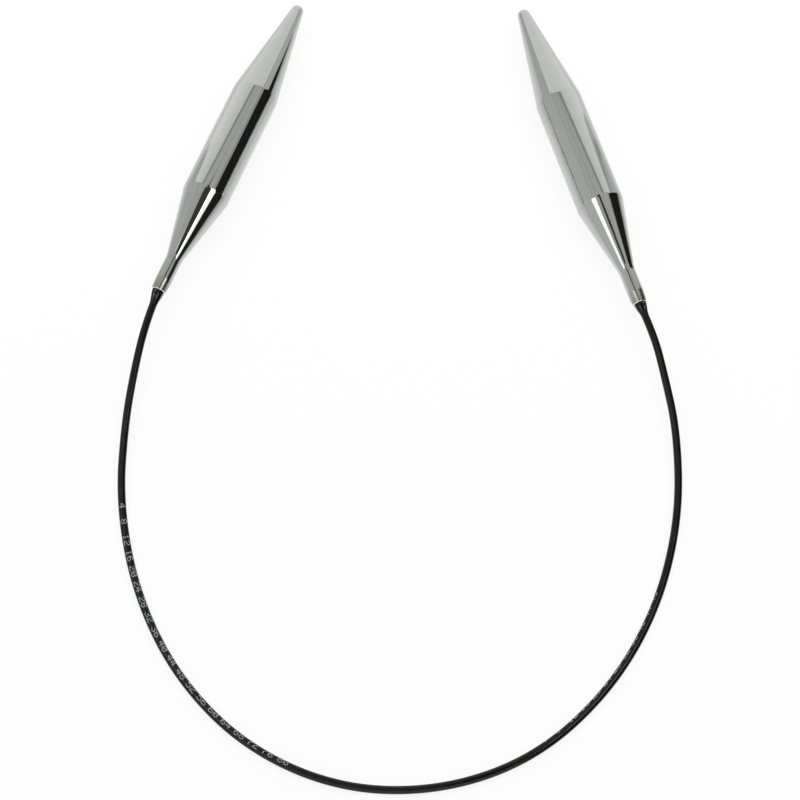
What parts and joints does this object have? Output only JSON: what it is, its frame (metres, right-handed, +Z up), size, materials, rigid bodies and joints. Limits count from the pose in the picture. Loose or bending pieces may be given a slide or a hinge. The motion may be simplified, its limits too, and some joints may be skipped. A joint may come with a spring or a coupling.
{
  "type": "circular knitting needle",
  "caption": "Fixed circular knitting needle: hollow plated metal needles with tapered points and necks, joined by a thin flexible black nylon cord.",
  "frame": {"origin": "on the surface the needle lies on, midway between the two needles", "axes": "+Z up, +Y from the cord's side towards the points, +X from the left needle to the right needle"},
  "size_m": [0.136, 0.2078, 0.012],
  "materials": {
    "plated_metal": "polished nickel plate",
    "pin_metal": "turned",
    "cord_end_plastic": "semi-gloss nylon, finely ridged",
    "cord_plastic": "semi-gloss nylon"
  },
  "bodies": {
    "cord": {"cord": "cord_plastic", "left_cord_end": "cord_end_plastic"},
    "cord_right_side": {"right_cord_end": "cord_end_plastic"},
    "left_needle": {"left_needle_shell": "plated_metal", "left_barbed_pin": "pin_metal"},
    "right_needle": {"right_needle_shell": "plated_metal", "right_barbed_pin": "pin_metal"}
  },
  "joints": [
    {"name": "loop_bend", "type": "hinge", "parent": "cord", "child": "cord_right_side", "pos_m": [-0.002, -0.16205, 0.00095], "axis": [0, 0, -1], "range_deg": [-4, 70], "stiffness_Nm_per_rad": 0.004, "deforming": ["cord"]},
    {"name": "left_needle_bend", "type": "hinge", "parent": "cord", "child": "left_needle", "pos_m": [-0.06066, -0.04132, 0.006], "axis": [0, 0, 1], "range_deg": [-12, 35], "stiffness_Nm_per_rad": 0.01, "deforming": ["left_cord_end"]},
    {"name": "right_needle_bend", "type": "hinge", "parent": "cord_right_side", "child": "right_needle", "pos_m": [0.06049, -0.04488, 0.006], "axis": [0, 0, -1], "range_deg": [-12, 35], "stiffness_Nm_per_rad": 0.01, "deforming": ["right_cord_end"]}
  ]
}
